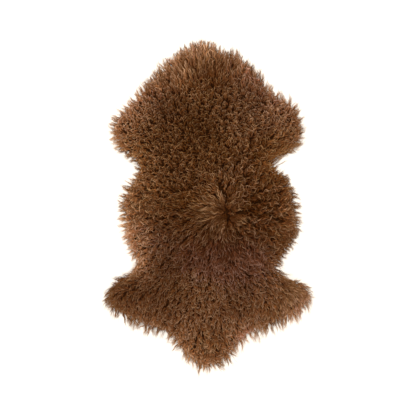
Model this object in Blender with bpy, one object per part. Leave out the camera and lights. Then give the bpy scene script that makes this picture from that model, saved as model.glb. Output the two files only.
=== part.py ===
"""A sheepskin rug: one whole pelt of long, curly wool, laid flat with the wool up.

The pelt is a single closed solid. Its underside, the tanned skin, is flat. Its top is the
lumpy surface of the wool, and tapered locks of wool lie on the floor all around its rim.
+Y runs towards the neck, +Z is up, and the origin is below the middle of the pelt, on the
floor. The tables and the sizes below are in millimetres.
"""

import math
import random
from collections import namedtuple

import bmesh
import bpy
import numpy as np
from mathutils import Vector, geometry, noise

METRES_PER_MM = 0.001

# The pelt over the tips of its longest locks.
OVERALL_LENGTH = 900.0
OVERALL_WIDTH = 561.0

# The slab of wool.
RIM_HEIGHT = 13.0          # the wool's thickness where the locks leave it
CREST_HEIGHT = 41.0        # the mean thickness well inside the rim
SHOULDER_WIDTH = 38.0      # how far inside the rim the wool has gained most of its height
SHOULDER_POWER = 1.2       # above 1, the wool rises slowly at first
LOWEST_WOOL = 12.0         # no crease goes deeper than this above the floor
SURFACE_STEP = 15.5        # the spacing of the points on the wool's surface
SURFACE_SPREAD = 2.6       # how far a point may stray from its even place
SURFACE_INSET = 9.3        # no such point is nearer to the rim

# The lumps of the wool: broad waves and rounded tufts.
WAVE_HEIGHT = 7.0
WAVE_SPACING = 95.0
WAVE_LAYER = 3.7           # which level of the three-dimensional waves is used
TUFT_HEIGHT = 13.0
TUFT_SPACING = 43.0
TUFT_RADIUS = 0.8          # where a tuft meets its valley, as a share of the spacing
TUFT_POWER = 1.5           # above 1, a tuft's top is rounded

# The locks around the rim.
LOCK_COUNT = 282
ROOT_INSET = 8.0           # the roots lie this far inside the wool's dense edge
ROOT_SHARE = 0.70          # the share of the rim that the roots take up
PITCH_SPREAD = 0.22        # how unevenly the roots are spaced
TUFT_SHARES = (0.50, 1.0)  # how long the locks of one tuft are, as a share of the longest
LOCK_SHARES = (0.80, 1.25) # how each lock's length differs from its tuft's
LEAN_SPREAD = 6.0          # degrees by which a lock turns away from its neighbours
BEND_SHARE = 0.09          # the sideways bend of a lock, as a share of its length
LOCK_GAP = 0.4             # locks side by side keep at least this far apart
TRIM_STEP = 0.92           # a lock that would touch another is shortened by this much
HEIGHT_SPREAD = 2.5        # how unevenly thick the wool is at its rim
TUFTED_LOCKS = 3           # the locks in one tuft, which are about as long as each other
SEED = 31

# One lock: its root's middle, the way it points, the way across it, and its sizes.
Lock = namedtuple("Lock", "root direction side width height reach bend")
NEIGHBOURS = 9             # how many locks on each side of it a lock is kept clear of
TESTED_SHARES = np.linspace(0.2, 1.0, 9)    # where along its length that is tested

# A lock's cross-sections, from its root to just before its tip.
LockRing = namedtuple("LockRing", "along width height top_share")
LOCK_RINGS = (
    LockRing(along=0.34, width=0.86, height=0.74, top_share=0.66),
    LockRing(along=0.70, width=0.54, height=0.42, top_share=0.60),
)

# The dense edge of the wool, section by section from the neck to the tail. left and right
# are the edge's places across the pelt at y. left_lock and right_lock say how far the longest
# locks reach past that edge. lean turns the locks towards the neck (+) or the tail (-).
Section = namedtuple("Section", "name y left right left_lock right_lock lean")
SECTIONS = (
    Section("neck tip", 421, -46, 22, 24, 24, 0.9),
    Section("neck", 400, -77, 80, 25, 22, 0.9),
    Section("neck", 374, -110, 116, 27, 18, 0.8),
    Section("nape", 342, -150, 145, 20, 22, 0.7),
    Section("nape", 309, -175, 168, 22, 18, 0.6),
    Section("shoulder", 277, -205, 223, 20, 12, 0.5),
    Section("fore leg", 245, -239, 246, 15, 10, 0.4),
    Section("fore leg", 213, -255, 253, 13, 8, 0.2),
    Section("fore leg", 181, -246, 248, 14, 9, 0.1),
    Section("elbow", 149, -231, 226, 11, 9, 0.0),
    Section("waist", 127, -203, 188, 8, 8, 0.0),
    Section("waist", 106, -187, 178, 7, 5, 0.0),
    Section("flank", 79, -196, 208, 10, 8, 0.1),
    Section("flank", 47, -216, 222, 24, 12, 0.1),
    Section("belly", 7, -225, 237, 16, 22, 0.0),
    Section("belly", -39, -218, 240, 20, 12, -0.1),
    Section("belly", -82, -216, 233, 16, 14, -0.1),
    Section("flank", -114, -206, 217, 10, 11, -0.1),
    Section("hip", -148, -190, 196, 9, 8, -0.1),
    Section("hip", -173, -202, 192, 9, 7, -0.1),
    Section("thigh", -194, -238, 233, 8, 8, 0.0),
    Section("hind leg", -221, -266, 271, 8, 6, -0.2),
    Section("hind leg", -248, -269, 271, 12, 8, -0.5),
    Section("hind leg", -274, -254, 260, 22, 24, -1.0),
    Section("thigh", -300, -214, 211, 30, 33, -1.6),
    Section("rump", -326, -150, 150, 34, 33, -1.6),
    Section("rump", -350, -94, 106, 26, 26, -1.2),
    Section("tail", -382, -71, 69, 24, 26, -1.0),
    Section("tail", -409, -43, 46, 27, 26, -1.0),
)
NECK_END = Section("neck end", 436, -12, -12, 16, 16, 0.9)
TAIL_END = Section("tail end", -432, -6, -6, 18, 18, -1.0)

# The partings in the wool: soft troughs, each with its middle, its whole length, the way it
# runs in degrees from +X, and its width and depth.
Parting = namedtuple("Parting", "x y length turn width depth")
PARTINGS = (
    Parting(x=52, y=-10, length=26, turn=0, width=22, depth=13),
    Parting(x=86, y=-11, length=70, turn=-4, width=13, depth=10),
    Parting(x=165, y=-22, length=60, turn=-16, width=13, depth=11),
    Parting(x=-125, y=-18, length=90, turn=-2, width=14, depth=7),
    Parting(x=-54, y=-80, length=70, turn=24, width=15, depth=8),
    Parting(x=40, y=60, length=90, turn=100, width=13, depth=7),
    Parting(x=98, y=150, length=80, turn=66, width=14, depth=7),
    Parting(x=150, y=188, length=60, turn=20, width=13, depth=6),
    Parting(x=-110, y=118, length=80, turn=32, width=14, depth=6),
    Parting(x=0, y=215, length=80, turn=84, width=14, depth=6),
    Parting(x=-40, y=330, length=60, turn=72, width=13, depth=6),
    Parting(x=110, y=-120, length=90, turn=-12, width=18, depth=7),
    Parting(x=-140, y=-200, length=80, turn=35, width=14, depth=6),
    Parting(x=45, y=-288, length=90, turn=8, width=15, depth=8),
    Parting(x=-15, y=-350, length=70, turn=86, width=13, depth=7),
    Parting(x=190, y=-250, length=50, turn=-10, width=13, depth=5),
)

WOOL_COLOUR = (0.112, 0.046, 0.019, 1.0)
WOOL_ROUGHNESS = 0.85
SKIN_COLOUR = (0.62, 0.50, 0.36, 1.0)
SKIN_ROUGHNESS = 0.75
SHARP_ANGLE = math.radians(40.0)

# How the outlines are filled: only inside them, and with no two points made one.
KEEP_INSIDE = 1
MERGE_DISTANCE = 1e-6

# How finely the edge's curve is drawn before it is measured out.
STEPS_PER_SECTION = 24

# The columns of a row along the edge or the rim.
PLACE = slice(0, 2)
LOCK_LENGTH = 2
LEAN = 3
OUTWARD = slice(4, 6)


def control_rows():
    """The edge's rows clockwise from the neck's end: place, lock length and lean."""
    down = [(s.right, s.y, s.right_lock, s.lean) for s in SECTIONS]
    up = [(s.left, s.y, s.left_lock, s.lean) for s in reversed(SECTIONS)]
    ends = [(end.left, end.y, end.left_lock, end.lean) for end in (NECK_END, TAIL_END)]
    return np.array([ends[0], *down, ends[1], *up], float)


def smooth_loop(rows):
    """A closed Catmull-Rom curve through the rows, as many fine rows."""
    before = np.roll(rows, 1, axis=0)
    after = np.roll(rows, -1, axis=0)
    beyond = np.roll(rows, -2, axis=0)
    spans = []
    for step in range(STEPS_PER_SECTION):
        t = step / STEPS_PER_SECTION
        spans.append(
            0.5 * (
                2 * rows
                + (after - before) * t
                + (2 * before - 5 * rows + 4 * after - beyond) * t**2
                + (3 * rows - before - 3 * after + beyond) * t**3
            )
        )
    return np.stack(spans, axis=1).reshape(-1, rows.shape[1])


def outward_normals(loop):
    """The level unit normals of a clockwise loop."""
    tangent = np.roll(loop, -2, axis=0)[:, PLACE] - np.roll(loop, 2, axis=0)[:, PLACE]
    tangent /= np.linalg.norm(tangent, axis=1, keepdims=True)
    return np.stack([-tangent[:, 1], tangent[:, 0]], axis=1)


def along_loop(loop, values, places):
    """The values on the loop at these shares of its length, wrapping round."""
    steps = np.linalg.norm(np.roll(loop, -1, axis=0)[:, PLACE] - loop[:, PLACE], axis=1)
    reached = np.concatenate([[0.0], np.cumsum(steps)])
    whole = np.concatenate([values, values[:1]])
    wanted = places * reached[-1]
    return np.stack([np.interp(wanted, reached, column) for column in whole.T], axis=1)


def root_places(rng):
    """Where each root starts and ends, as shares of the rim's length, in turn."""
    weights = [rng.uniform(1 - PITCH_SPREAD, 1 + PITCH_SPREAD) for _ in range(LOCK_COUNT)]
    ends = np.cumsum(weights) / sum(weights)
    starts = np.concatenate([[0.0], ends[:-1]])
    closes = starts + ROOT_SHARE * (ends - starts)
    return np.stack([starts, closes], axis=1).reshape(-1)


def turned(direction, degrees):
    angle = math.radians(degrees)
    x, y = direction
    return np.array([
        x * math.cos(angle) - y * math.sin(angle),
        x * math.sin(angle) + y * math.cos(angle),
    ])


def lock_middle(lock, along):
    """The middle of the lock, seen from above, this share of the way to its tip."""
    sideways = lock.side * lock.bend * lock.reach * along**2
    return lock.root + lock.direction * lock.reach * along + sideways


def lock_width(lock, along):
    places = (0.0, *(ring.along for ring in LOCK_RINGS), 1.0)
    shares = (1.0, *(ring.width for ring in LOCK_RINGS), 0.0)
    return lock.width * np.interp(along, places, shares)


def stand_apart(first, second):
    """Whether two locks keep clear of each other past their roots."""
    middles = [[lock_middle(lock, along) for along in TESTED_SHARES] for lock in (first, second)]
    widths = [lock_width(lock, TESTED_SHARES) for lock in (first, second)]
    between = np.subtract.outer(*[np.array(places)[:, 0] for places in middles])
    across = np.subtract.outer(*[np.array(places)[:, 1] for places in middles])
    needed = np.add.outer(*widths) / 2 + LOCK_GAP
    return bool((np.hypot(between, across) >= needed).all())


def trimmed(locks):
    """The locks, each shortened until it stands apart from those next to it."""
    for index in range(len(locks)):
        for step in range(1, NEIGHBOURS + 1):
            other = (index + step) % len(locks)
            while not stand_apart(locks[index], locks[other]):
                longer = max(index, other, key=lambda i: locks[i].reach)
                locks[longer] = locks[longer]._replace(reach=locks[longer].reach * TRIM_STEP)
    return locks


def rim_locks(rim, heights, rng):
    """One lock for each root on the rim."""
    locks = []
    tuft_share = 1.0
    for index in range(LOCK_COUNT):
        left, right = rim[2 * index], rim[2 * index + 1]
        if index % TUFTED_LOCKS == 0:
            tuft_share = rng.uniform(*TUFT_SHARES)
        share = min(1.0, tuft_share * rng.uniform(*LOCK_SHARES))
        middle = (left + right) / 2
        outward = middle[OUTWARD] / np.linalg.norm(middle[OUTWARD])
        direction = outward + np.array([0.0, middle[LEAN]])
        direction /= np.linalg.norm(direction)
        direction = turned(direction, rng.uniform(-LEAN_SPREAD, LEAN_SPREAD))
        locks.append(Lock(
            root=middle[PLACE],
            direction=direction,
            side=np.array([direction[1], -direction[0]]),
            width=np.linalg.norm(right[PLACE] - left[PLACE]),
            height=min(heights[2 * index], heights[2 * index + 1]),
            reach=ROOT_INSET + middle[LOCK_LENGTH] * share,
            bend=rng.uniform(-BEND_SHARE, BEND_SHARE),
        ))
    return trimmed(locks)


def ring_points(lock, ring):
    """The four corners of a lock's cross-section, two on the floor and two above."""
    middle = lock_middle(lock, ring.along)
    half = lock.side * lock.width * ring.width / 2
    top_half = half * ring.top_share
    top = lock.height * ring.height
    corners = ((0.0, -half), (0.0, half), (top, top_half), (top, -top_half))
    return [(*(middle + offset), level) for level, offset in corners]


def tuft_lump(x, y):
    """Rounded tufts with narrow valleys between them, from -0.5 to 0.5."""
    place = Vector((x / TUFT_SPACING, y / TUFT_SPACING, 0.0))
    nearest = noise.voronoi(place)[0][0]
    return 0.5 - min(1.0, nearest / TUFT_RADIUS) ** TUFT_POWER


def wave_lump(x, y):
    return noise.noise(Vector((x / WAVE_SPACING, y / WAVE_SPACING, WAVE_LAYER)))


def parting_depth(x, y):
    """How much the deepest parting lowers the wool here."""
    deepest = 0.0
    for parting in PARTINGS:
        angle = math.radians(parting.turn)
        dx = x - parting.x
        dy = y - parting.y
        along = dx * math.cos(angle) + dy * math.sin(angle)
        across = -dx * math.sin(angle) + dy * math.cos(angle)
        past_end = max(0.0, abs(along) - parting.length / 2)
        nearness = (across / parting.width) ** 2 + (past_end / parting.width) ** 2
        deepest = max(deepest, parting.depth * math.exp(-nearness))
    return deepest


def distance_to_loop(place, loop):
    return float(np.sqrt(((loop[:, PLACE] - place) ** 2).sum(axis=1).min()))


def wool_height(x, y, inside):
    """The height of the wool's surface this far inside its rim."""
    gain = 1.0 - math.exp(-((inside / SHOULDER_WIDTH) ** SHOULDER_POWER))
    lumps = WAVE_HEIGHT * wave_lump(x, y) + TUFT_HEIGHT * tuft_lump(x, y)
    height = RIM_HEIGHT + gain * (CREST_HEIGHT - RIM_HEIGHT + lumps - parting_depth(x, y))
    return max(LOWEST_WOOL, height)


def inside_loop(x, y, loop):
    """Whether the place is inside the closed loop, by crossings along +X."""
    x0, y0 = loop[:, 0], loop[:, 1]
    x1, y1 = np.roll(x0, -1), np.roll(y0, -1)
    spans = (y0 > y) != (y1 > y)
    level = np.where(y1 == y0, 1.0, y1 - y0)
    crossing = x0 + (y - y0) / level * (x1 - x0)
    return bool(np.count_nonzero(spans & (crossing > x)) % 2)


def surface_points(rim, rng):
    """Points spread evenly over the wool inside its rim, in staggered rows."""
    row_step = SURFACE_STEP * math.sqrt(3) / 2
    low, high = rim[:, PLACE].min(axis=0), rim[:, PLACE].max(axis=0)
    points = []
    for row in range(int((high[1] - low[1]) / row_step) + 1):
        start = low[0] + (row % 2) * SURFACE_STEP / 2
        for column in range(int((high[0] - low[0]) / SURFACE_STEP) + 1):
            x = start + column * SURFACE_STEP + rng.uniform(-1, 1) * SURFACE_SPREAD
            y = low[1] + row * row_step + rng.uniform(-1, 1) * SURFACE_SPREAD
            if not inside_loop(x, y, rim):
                continue
            inside = distance_to_loop((x, y), rim)
            if inside > SURFACE_INSET:
                points.append((x, y, wool_height(x, y, inside)))
    return points


def filled(points, rim_count):
    """Triangles over the points, inside the loop that the first rim_count of them make."""
    flat = [Vector((point[0], point[1])) for point in points]
    edges = [(i, (i + 1) % rim_count) for i in range(rim_count)]
    made = geometry.delaunay_2d_cdt(flat, edges, [], KEEP_INSIDE, MERGE_DISTANCE)
    triangles, sources = made[2], made[3]
    return [[sources[corner][0] for corner in triangle] for triangle in triangles]


class Solid:
    """The points and faces of the pelt, gathered one part at a time."""

    def __init__(self):
        self.points = []
        self.faces = []
        self.skin_faces = []

    def add(self, points):
        first = len(self.points)
        self.points.extend(tuple(float(value) for value in point) for point in points)
        return list(range(first, len(self.points)))


def add_lock(solid, lock, root):
    """The sides of a lock from its root's four corners to its tip."""
    near = root
    for ring in LOCK_RINGS:
        far = solid.add(ring_points(lock, ring))
        for i in range(4):
            j = (i + 1) % 4
            solid.faces.append((near[i], near[j], far[j], far[i]))
        near = far
    tip = solid.add([(*lock_middle(lock, 1.0), 0.0)])[0]
    for i in range(4):
        solid.faces.append((near[i], near[(i + 1) % 4], tip))


def pelt_solid():
    rng = random.Random(SEED)
    edge = smooth_loop(control_rows())
    normals = outward_normals(edge)
    slab = edge.copy()
    slab[:, PLACE] -= normals * ROOT_INSET
    rim = along_loop(slab, np.hstack([slab, normals]), root_places(rng))
    count = len(rim)

    solid = Solid()
    heights = [RIM_HEIGHT + rng.uniform(-1, 1) * HEIGHT_SPREAD for _ in range(count)]
    low = solid.add([(row[0], row[1], 0.0) for row in rim])
    high = solid.add([(row[0], row[1], height) for row, height in zip(rim, heights)])
    wool = surface_points(rim, rng)
    wool_ids = high + solid.add(wool)
    for triangle in filled([*rim, *wool], count):
        solid.faces.append(tuple(wool_ids[corner] for corner in triangle))
    for triangle in filled(rim, count):
        solid.skin_faces.append(tuple(low[corner] for corner in reversed(triangle)))

    for index, lock in enumerate(rim_locks(rim, heights, rng)):
        start, close, after = 2 * index, 2 * index + 1, (2 * index + 2) % count
        add_lock(solid, lock, [low[start], low[close], high[close], high[start]])
        solid.faces.append((low[close], low[after], high[after], high[close]))
    return solid


def fitted(points):
    """The points at the overall size, centred over the origin and standing on the floor."""
    points = np.array(points)
    low, high = points.min(axis=0), points.max(axis=0)
    middle = (low + high) / 2
    middle[2] = low[2]
    size = high - low
    scale = np.array([OVERALL_WIDTH / size[0], OVERALL_LENGTH / size[1], 1.0])
    return (points - middle) * scale * METRES_PER_MM


def material(name, colour, roughness):
    made = bpy.data.materials.new(name)
    made.use_nodes = True
    shader = made.node_tree.nodes["Principled BSDF"]
    shader.inputs["Base Color"].default_value = colour
    shader.inputs["Roughness"].default_value = roughness
    shader.inputs["Metallic"].default_value = 0.0
    made.diffuse_color = colour
    return made


def make_pelt():
    solid = pelt_solid()
    mesh = bpy.data.meshes.new("pelt")
    mesh.from_pydata(fitted(solid.points).tolist(), [], solid.faces + solid.skin_faces)
    mesh.materials.append(material("wool", WOOL_COLOUR, WOOL_ROUGHNESS))
    mesh.materials.append(material("skin", SKIN_COLOUR, SKIN_ROUGHNESS))
    for polygon in list(mesh.polygons)[len(solid.faces):]:
        polygon.material_index = 1
    shape = bmesh.new()
    shape.from_mesh(mesh)
    bmesh.ops.recalc_face_normals(shape, faces=shape.faces)
    bmesh.ops.triangulate(shape, faces=shape.faces)
    shape.to_mesh(mesh)
    shape.free()
    mesh.shade_smooth()
    mesh.set_sharp_from_angle(angle=SHARP_ANGLE)
    pelt = bpy.data.objects.new("pelt", mesh)
    bpy.context.scene.collection.objects.link(pelt)


def clear_scene():
    for obj in list(bpy.data.objects):
        bpy.data.objects.remove(obj, do_unlink=True)


clear_scene()
make_pelt()
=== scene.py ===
"""The looks of a curly sheepskin rug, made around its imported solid.

The rug lies flat with its neck towards +Y and its wool towards +Z. The solid of the pelt gives
every place: its top is read once as a height field, and its points on the floor say how far
the wool reaches past the rim. The wool is a dark, crimped bed with many separate curled locks
over it, combed the way the chart below says. Lengths are metres unless a name says otherwise.
"""

import copy
import math

import bpy
import numpy as np
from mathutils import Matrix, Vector, geometry
from mathutils.bvhtree import BVHTree
from mathutils.kdtree import KDTree


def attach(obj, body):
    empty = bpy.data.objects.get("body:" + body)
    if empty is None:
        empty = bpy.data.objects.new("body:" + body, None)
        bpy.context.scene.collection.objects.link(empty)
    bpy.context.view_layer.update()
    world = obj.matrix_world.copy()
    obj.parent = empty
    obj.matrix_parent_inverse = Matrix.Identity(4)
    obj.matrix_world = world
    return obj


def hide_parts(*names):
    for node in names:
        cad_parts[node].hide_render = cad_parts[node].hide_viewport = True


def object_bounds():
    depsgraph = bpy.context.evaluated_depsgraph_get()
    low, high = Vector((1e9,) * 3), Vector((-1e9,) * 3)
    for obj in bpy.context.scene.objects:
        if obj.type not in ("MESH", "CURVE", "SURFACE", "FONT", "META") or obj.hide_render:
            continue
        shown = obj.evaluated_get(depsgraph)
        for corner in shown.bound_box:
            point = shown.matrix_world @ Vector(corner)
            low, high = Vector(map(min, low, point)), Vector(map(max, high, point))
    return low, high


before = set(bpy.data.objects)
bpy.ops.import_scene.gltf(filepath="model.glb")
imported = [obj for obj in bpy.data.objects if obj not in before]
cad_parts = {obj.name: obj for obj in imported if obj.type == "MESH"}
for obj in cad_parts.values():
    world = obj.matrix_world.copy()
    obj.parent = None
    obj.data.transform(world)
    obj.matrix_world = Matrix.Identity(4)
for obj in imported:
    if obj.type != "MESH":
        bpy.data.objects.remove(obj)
cad_low, cad_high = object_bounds()

MM = 0.001
SEED = 7

# ---- The picture: 416 px across, and the pelt's 900 mm cover 336 of them.
PICTURE_PX = 416
PIXEL = 0.9 / 336
PELT_CENTRE_PX = (207.25, 206.75)
LENS_MM = 85.0
SENSOR_MM = 36.0
AIMED_HEIGHT = 30 * MM

# ---- The floor and the light.
FLOOR_HALF = 6.0
KEY_PLACE, KEY_SIZE, KEY_POWER = (-0.6, 0.8, 3.3), 1.6, 130.0
WORLD_LIGHT = 1.25

# ---- The height field.
FIELD_STEP = 1.6 * MM
FIELD_MARGIN = 60 * MM
RIM_LEAST_HEIGHT = 9 * MM  # the solid's rim is thicker than this, and its locks thinner
SAME_PLACE = 0.2 * MM
RIM_WOOL = 12 * MM  # past the rim the wool slopes from this height
FLOOR_WOOL = 2.2 * MM  # down to this one
FALL = 13 * MM
COVER_BLUR = 6 * MM
OUTWARD_BLUR = 8 * MM
RIM_BAND = 60 * MM  # the solid's locks end within this of its rim

# ---- The bed of wool under the locks.
BED_STEP = 4.4 * MM
BED_INSET = 5 * MM
BED_DEPTH = 0.61  # the bed's top, as a share of the wool's height
CRIMP, CRIMP_SPACING, CRIMP_SEED = 2.2 * MM, 13 * MM, 3
CRIMP_WAVES, CRIMP_PACE, CRIMP_SUM = 9, (0.7, 1.4), 3.2
BED_BOTTOM, BED_LEAST = 2.4 * MM, 1.5 * MM

# ---- The skin under the wool.
SKIN_INSET = 16 * MM
SKIN_STEP = 12 * MM
SKIN_THICKNESS = 2 * MM

# ---- How both are made.
LOOP_STEPS, LOOP_PACE = 12, 0.7  # the edge is drawn in this often, each time by this share
LOOP_GAP = 0.55  # of the spacing, between the edge and the places inside it

# ---- The locks. A pair by curl is the value of straight wool, and what full curl adds to it.
# Other pairs are the least and the most of a draw. Levels are shares of the wool's height.
LOCK_SPACING = 5.2 * MM
JITTER = 0.34  # how far places lie off their rows, as a share of their spacing
ROOT_INSET = 3 * MM  # no root is nearer the rim than this,
ROOT_SPREAD, ROOT_SPREAD_FROM = 1.2, 4 * MM  # but for wool that reaches further by more than this
CLUMP_SPACING = 9.5 * MM
CLUMPS_PAST_RIM = 20 * MM
IN_STEP, IN_STEP_CURL = 0.75, 0.6  # how nearly a clump's locks start together, in wool this curled
CLUMP_TURN_BY_CURL, LOCK_TURN_BY_CURL = (0.08, 0.34), (0.05, 0.13)
USUAL_LENGTH = 23 * MM
CLUMP_LENGTH, LOCK_LENGTH = (0.8, 1.2), (0.86, 1.14)
SHORTEST = 7 * MM
HOOK, HOOK_BACK = 1.7, 0.2  # how late a lock bends, and how far it turns back before
HOOKED_SHARE = 0.6  # of the clumps in fully curled wool that bend far round
HOOKED_FROM, HOOKED_OVER = 0.25, 0.25  # and none does in wool that is less curled than this
HOOKED_BEND, USUAL_BEND = (1.8, 5.0), (0.0, 0.9)
CLUMP_BEND_BY_CURL, LOCK_BEND_BY_CURL = (0.12, 0.88), (0.08, 0.25)
OTHER_WAY = 0.15  # of a clump's locks that wave the other way
CURLS, FIRST_CURL = 2.25, 0.25  # waves in a lock, and where in a wave it starts
SWING, LIFT = 2.4 * MM, 0.85  # how far a wave goes sideways, and this share of it up and down
SWING_FROM, SWING_LOSS = 0.25, 0.3  # it is full from here along the lock, and loses this by the tip
SWING_BY_CURL, LOCK_SWING = (0.32, 0.78), (0.7, 1.2)
ROOT_LEVEL, WHORL_RISE = BED_DEPTH - 0.12, 0.22  # roots stand higher in the whorl
RISE_BY = 0.4  # a lock has risen to its level this far along it
TOP_SHARE = 0.24  # of the locks that lie over the others: long, and lighter by painted light
TOP_LEVEL, LOWER_LEVEL, CLUMP_LEVEL = (0.99, 1.08), (0.8, 0.98), (0.96, 1.03)
TOP_TIP, LOWER_TIP = (-0.08, 0.1), (-0.1, 0.02)  # how much higher their tips are
TOP_LENGTH, TOP_WIDTH, TOP_SWING = 1.3, 1.12, 1.3
TOP_RINGS, LOWER_RINGS, SIDES, FIRST_CORNER = 16, 8, 3, 0.25
LOCK_RADIUS, RADIUS_BY_SIZE, LOCK_WIDTH = 1.3 * MM, 0.4, (0.75, 1.2)
BULGE, TAPER = 0.2, 0.78
POINT = 0.8  # a lock's point is this many rings' steps past its last ring
OFF_FLOOR, POINT_OFF_FLOOR, OVER_SOLID = 0.2 * MM, 0.3 * MM, 4 * MM
PULL, PULL_LATE = (0.0, 0.35), 1.5  # how far, and how late, a lock is drawn to its clump's middle
LONG_PULL, LONG_OVER = 0.28, 0.4  # and how much further if it is longer than usual by this
EVEN_EDGE, EVEN_EDGE_OVER = 0.3, 0.1  # wool less curled than this reaches further past the rim
OUT_MM, EVEN_OUT_MM, LEAST_OUT = (0.3, 3.8), 2, 0.3 * MM  # past the solid
PAST_RIM_MM, EVEN_PAST_RIM_MM, LEAST_PAST_RIM = (3.0, 12.0), 25, -4 * MM
FURTHER_PAST_RIM = 1.5
CUTS, DEEPEST_CUT = 5, 0.15  # how often locks are shortened, and to what share at most each time
# The pieces from the neck to the tail: name, and the lowest y of a root in millimetres.
PIECES = (
    ("wool_neck", 265), ("wool_shoulders", 130), ("wool_back", 55), ("wool_waist", -20),
    ("wool_loin", -110), ("wool_rump", -260), ("wool_tail", -600),
)

# ---- The wisps: thin locks past the rim, in tufts.
TUFT_SPACING, TUFT_JITTER, TUFT_INSET = 4.8 * MM, 0.4, (4 * MM, 12 * MM)
TUFT_LOCKS = 5
WISP_SIDEWAYS, WISP_OUT = 2.8 * MM, (-5 * MM, 3 * MM)  # from its tuft's middle
WISP_RINGS = 8
TUFT_TURN, WISP_TURN = 0.2, 0.06
TUFT_LENGTH, WISP_LENGTH = (28 * MM, 56 * MM), (0.75, 1.1)
TUFT_BEND, WISP_BEND = 0.38, 0.1
WISP_LEVEL, WISP_PULL = (0.6, 1.0), (0.7, 1.05)
WISP_RADIUS, WISP_WIDTH = 0.98 * MM, (0.7, 1.3)
WISP_SWING, WISP_SWINGS = 1.8 * MM, (0.6, 1.2)
TUFT_LIGHT, WISP_LIGHT = (1.01, 0.15), (1, 0.15)  # the mean and the spread
TUFT_REACH, WISP_REACH = (0.6, 3.15), (0.7, 1.0)  # the tuft's is the root of its millimetres
LEAST_REACH, SHORTEST_WISP = 0.3 * MM, 10 * MM
WISP_ROOT, WISP_TIP = 0.28, 0.85  # where on the locks' map a wisp starts and ends
WISP_TINT = -0.25  # its tint beside the other locks'
STRAY_SHARE = 0.25  # of the wisps that are finer and reach further
STRAY_WIDTH, STRAY_LENGTH, STRAY_REACH = 0.5, 1.4, (1 * MM, 9 * MM)

# ---- The locks' map: a strip across it for each shade and tint, and along it from root to tip.
LIGHTS, LEAST_LIGHT, MOST_LIGHT = 16, 0.35, 2.05
HUES = 5  # golden first, then grey, and purplish last
STRIP_EDGE = 0.06
TIP_PLACE = 0.94  # where a lock's last ring is
ROOT_PLACES = ((0.9, 0.0), (0.5, 0.02), (0.1, 0.0))  # the face at the root
WHORL_FIRST, EVEN_FIRST = 0.3, 0.22  # how far along locks with light roots start: in the whorl,
EVEN_WOOL, EVEN_WOOL_OVER = 0.36, 0.14  # and in wool less curled than this
CONTRAST_BY_CURL, CONTRAST_BY_SIZE = (0.27, 0.66), 1.1
# Of these, the last two are painted light on the locks on top and painted shade on the lower ones.
CLUMP_LIGHT, LOCK_LIGHT, TOP_PAINTED_LIGHT, LOWER_PAINTED_SHADE = 0.03, 0.26, 0.38, -0.14
USUAL_TINT, RIM_TINT, RIM_TINT_FALL, TINT_SPREAD = 0.5, 0.12, 25 * MM, 0.5
# Where the tint differs: x, y and the spread each way in millimetres, and the change.
TINTED = (
    (-60, 170, 90, 80, -0.36), (-70, 8, 85, 45, -0.38), (-165, 276, 55, 50, 0.26), (-25, 412, 60, 30, 0.14),
    (-20, 278, 45, 40, -0.2), (104, 340, 40, 40, 0.32), (100, -340, 40, 30, 0.38),
    (-235, 205, 40, 40, 0.14), (-245, -215, 40, 30, -0.2), (-40, -208, 45, 26, -0.22),
    (125, 105, 55, 50, 0.14), (165, 135, 35, 35, -0.45), (275, -268, 40, 40, 0.65), (170, 88, 48, 50, -0.5),
    (65, -130, 90, 48, 0.92), (180, -105, 33, 42, -0.52), (34, 139, 40, 35, -0.28), (34, 330, 40, 40, -0.2),
    (20, -350, 40, 30, -0.2), (190, 265, 45, 35, 0.26), (-110, -75, 40, 35, 0.2), (-180, -75, 40, 35, 0.1),
    (110, -25, 70, 45, -0.15), (-175, 140, 40, 50, -0.25), (228, -205, 35, 35, -0.32),
    (190, -275, 35, 30, -0.15),
)
# Where locks differ more from their neighbours, or less: x, y, the spreads and the change.
UNEVEN = (
    (-50, -205, 125, 50, -0.45), (-20, -285, 90, 45, -0.55), (-110, -140, 40, 35, -0.58),
    (30, 285, 75, 45, -0.5), (-110, 278, 40, 35, -0.28), (-165, 208, 55, 35, -0.6),
    (173, 208, 35, 35, -0.5), (173, 69, 30, 30, -0.25), (34, 139, 35, 30, -0.32), (108, 105, 40, 50, 0.3),
    (110, -10, 70, 35, 0.45), (178, 0, 28, 35, 0.3), (-35, 410, 60, 30, 1.6), (-110, 345, 45, 35, 0.9),
    (104, 348, 40, 25, 0.85), (106, 282, 40, 30, -0.25), (-185, -140, 30, 30, 0.6),
    (-178, 275, 40, 30, 0.6), (232, -206, 36, 32, -0.75), (168, -212, 28, 30, 0.4),
    (216, -25, 26, 60, -0.4), (240, 205, 30, 40, 0.3), (-180, -288, 35, 30, 0.5), (278, -265, 40, 40, 1.1),
    (165, -205, 30, 25, 0.25), (104, -345, 40, 25, 0.3),
)

rng = np.random.default_rng(SEED)


# ---- What the solid gives.

def mesh_points(obj):
    points = np.empty(len(obj.data.vertices) * 3)
    obj.data.vertices.foreach_get("co", points)
    return points.reshape(-1, 3)


def nearest(points, places):
    """The distance from each place to the nearest of the points, and that point's index."""
    tree = KDTree(len(points))
    for index, (x, y) in enumerate(points):
        tree.insert((x, y, 0.0), index)
    tree.balance()
    found = [tree.find((x, y, 0.0)) for x, y in places]
    return np.array([f[2] for f in found]), np.array([f[1] for f in found])


def in_order(places):
    """The places of a loop, each followed by its neighbour, anticlockwise."""
    left = list(range(1, len(places)))
    order = [0]
    while left:
        rest = places[left]
        closest = int(np.argmin(((rest - places[order[-1]]) ** 2).sum(axis=1)))
        order.append(left.pop(closest))
    loop = places[order]
    x, y = loop[:, 0], loop[:, 1]
    area = (x * np.roll(y, -1) - y * np.roll(x, -1)).sum()
    return loop if area > 0 else loop[::-1]


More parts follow.
